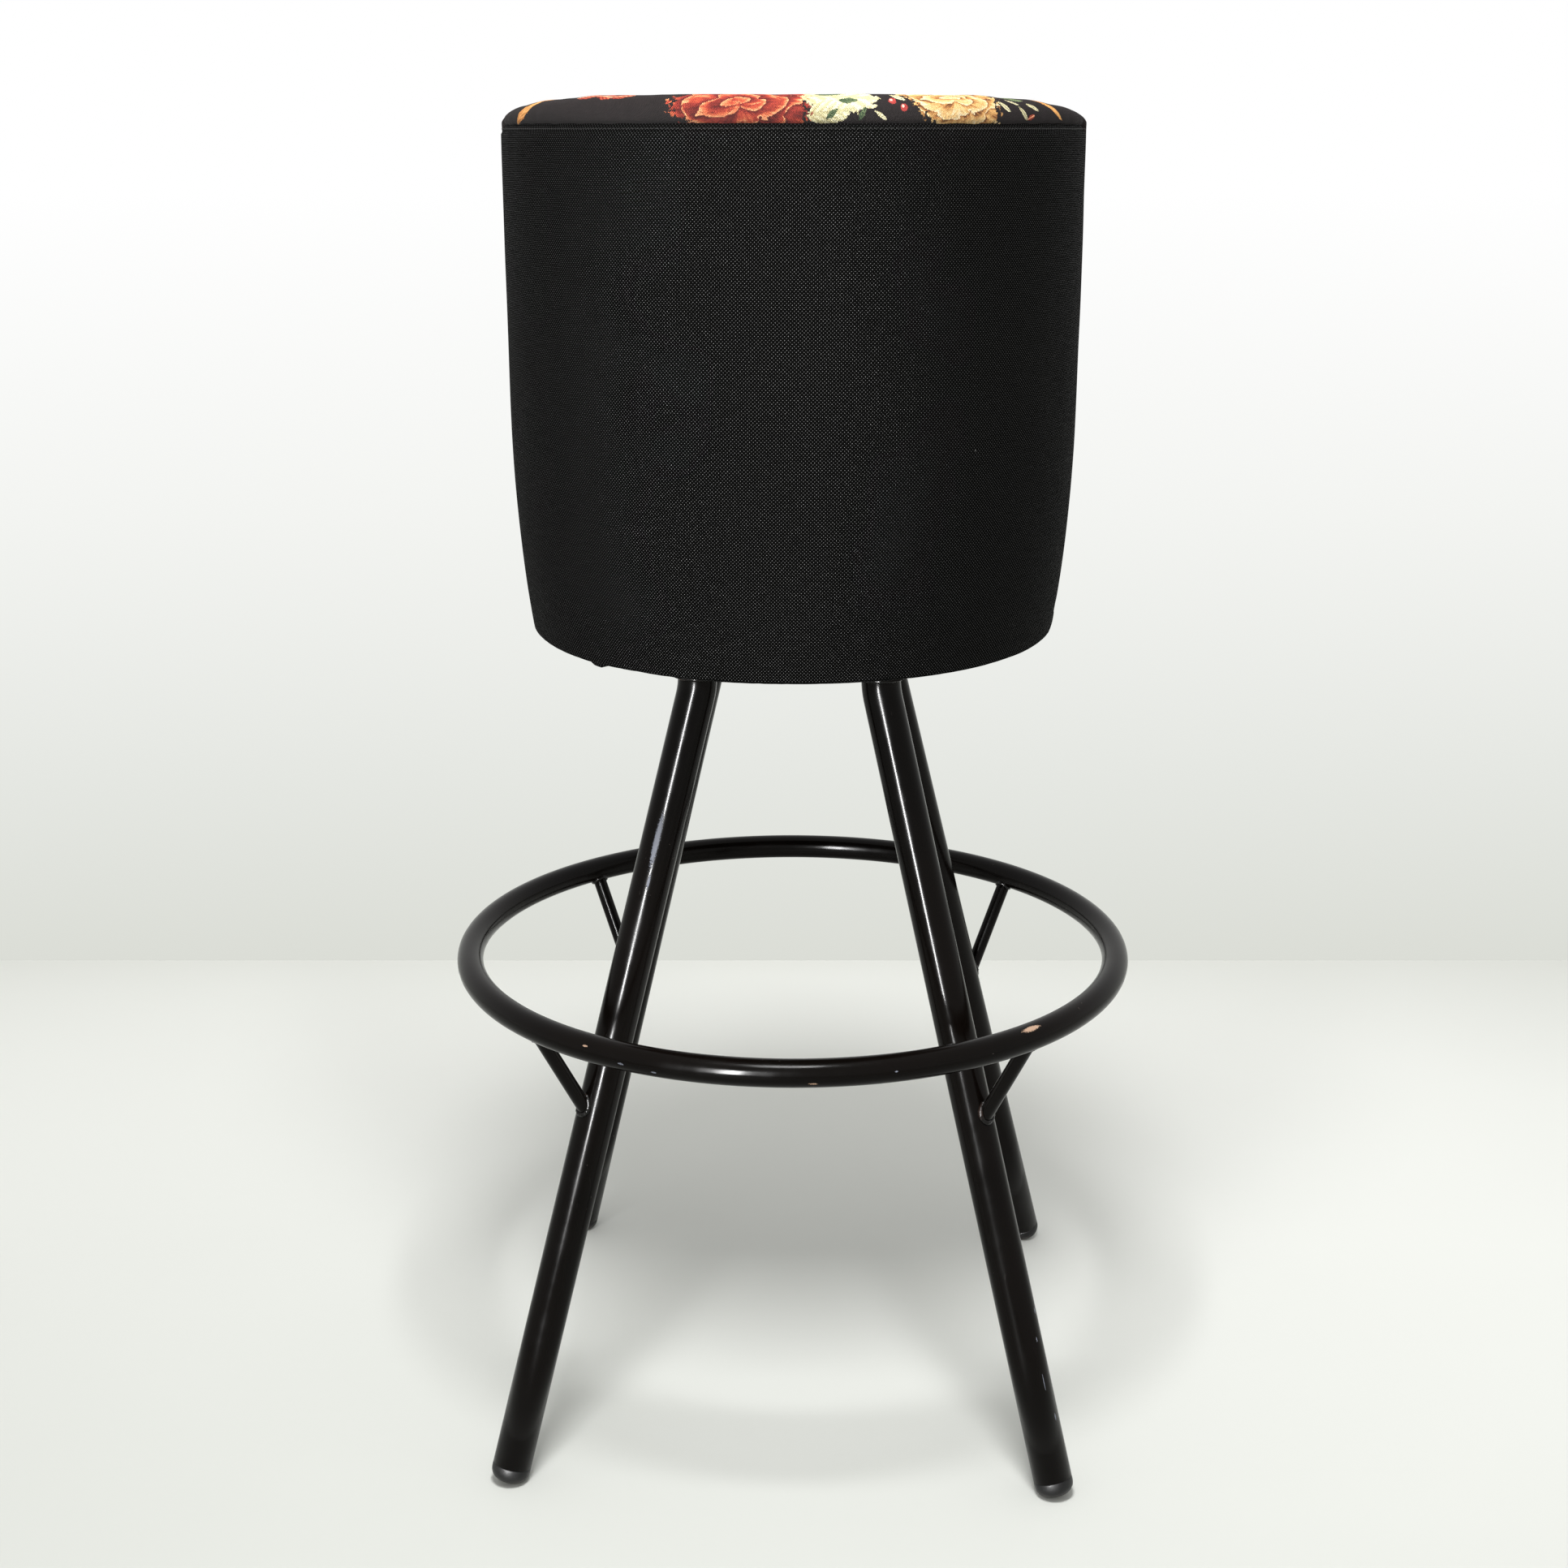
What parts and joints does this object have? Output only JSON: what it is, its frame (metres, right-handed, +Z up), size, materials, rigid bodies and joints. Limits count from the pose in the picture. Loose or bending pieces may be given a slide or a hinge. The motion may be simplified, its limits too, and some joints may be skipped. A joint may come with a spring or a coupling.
{
  "type": "bar stool",
  "caption": "Swivel bar stool with an upholstered tub back and round seat on splayed tube legs, with a round foot ring on struts.",
  "frame": {"origin": "on the floor, below the swivel axis, at the middle of the four feet", "axes": "+Z up along the swivel axis; the sitter faces -Y and the closed side of the tub back is at +Y; +X is the sitter's left"},
  "size_m": [0.5774, 0.5774, 1.097],
  "materials": {
    "gloss_black_paint": "gloss black paint over steel tube, chipped in places",
    "black_plastic": "worn black plastic",
    "bearing_steel": "ground steel, greased",
    "cage_brass": "plain stamped",
    "bush_nylon": "natural nylon",
    "zinc_plate": "dull zinc plate",
    "birch_plywood": "raw plywood",
    "floral_tapestry": "woven floral tapestry on a near-black ground",
    "black_canvas": "coarse plain-weave black canvas",
    "black_cambric": "thin black lining cloth"
  },
  "bodies": {
    "base": {"foot_ring": "gloss_black_paint", "frame_bolt_front": "zinc_plate", "frame_bolt_left": "zinc_plate", "frame_bolt_rear": "zinc_plate", "frame_bolt_right": "zinc_plate", "frame_nut_front": "zinc_plate", "frame_nut_left": "zinc_plate", "frame_nut_rear": "zinc_plate", "frame_nut_right": "zinc_plate", "frame_plate": "gloss_black_paint", "glide_front_left": "black_plastic", "glide_front_right": "black_plastic", "glide_rear_left": "black_plastic", "glide_rear_right": "black_plastic", "leg_front_left": "gloss_black_paint", "leg_front_right": "gloss_black_paint", "leg_rear_left": "gloss_black_paint", "leg_rear_right": "gloss_black_paint", "lower_race": "bearing_steel", "spindle_washer": "bearing_steel", "strut_front_left": "gloss_black_paint", "strut_front_right": "gloss_black_paint", "strut_rear_left": "gloss_black_paint", "strut_rear_right": "gloss_black_paint", "swivel_lower_plate": "zinc_plate", "swivel_spindle": "bearing_steel"},
    "cage": {"ball_cage": "cage_brass", "swivel_ball_1": "bearing_steel", "swivel_ball_2": "bearing_steel", "swivel_ball_3": "bearing_steel", "swivel_ball_4": "bearing_steel", "swivel_ball_5": "bearing_steel", "swivel_ball_6": "bearing_steel", "swivel_ball_7": "bearing_steel", "swivel_ball_8": "bearing_steel"},
    "seat": {"back_shell": "birch_plywood", "dust_cover": "black_cambric", "inside_back_pad": "floral_tapestry", "outer_back_cover": "black_canvas", "seat_board": "birch_plywood", "seat_bolt_front_left": "zinc_plate", "seat_bolt_front_right": "zinc_plate", "seat_bolt_rear_left": "zinc_plate", "seat_bolt_rear_right": "zinc_plate", "seat_cushion": "floral_tapestry", "shell_screw_1": "zinc_plate", "shell_screw_2": "zinc_plate", "shell_screw_3": "zinc_plate", "shell_screw_4": "zinc_plate", "shell_screw_5": "zinc_plate", "spindle_bush": "bush_nylon", "swivel_upper_plate": "zinc_plate", "tee_nut_front_left": "zinc_plate", "tee_nut_front_right": "zinc_plate", "tee_nut_rear_left": "zinc_plate", "tee_nut_rear_right": "zinc_plate", "upper_race": "bearing_steel"}
  },
  "joints": [
    {"name": "seat_swivel", "type": "hinge", "parent": "base", "child": "seat", "pos_m": [0, 0, 0.666], "axis": [0, 0, 1], "continuous": true},
    {"name": "cage_roll", "type": "hinge", "parent": "base", "child": "cage", "pos_m": [0, 0, 0.666], "axis": [0, 0, 1], "continuous": true}
  ],
  "couplings": [
    {"joint": "cage_roll", "follows": "seat_swivel", "ratio": 0.5}
  ]
}
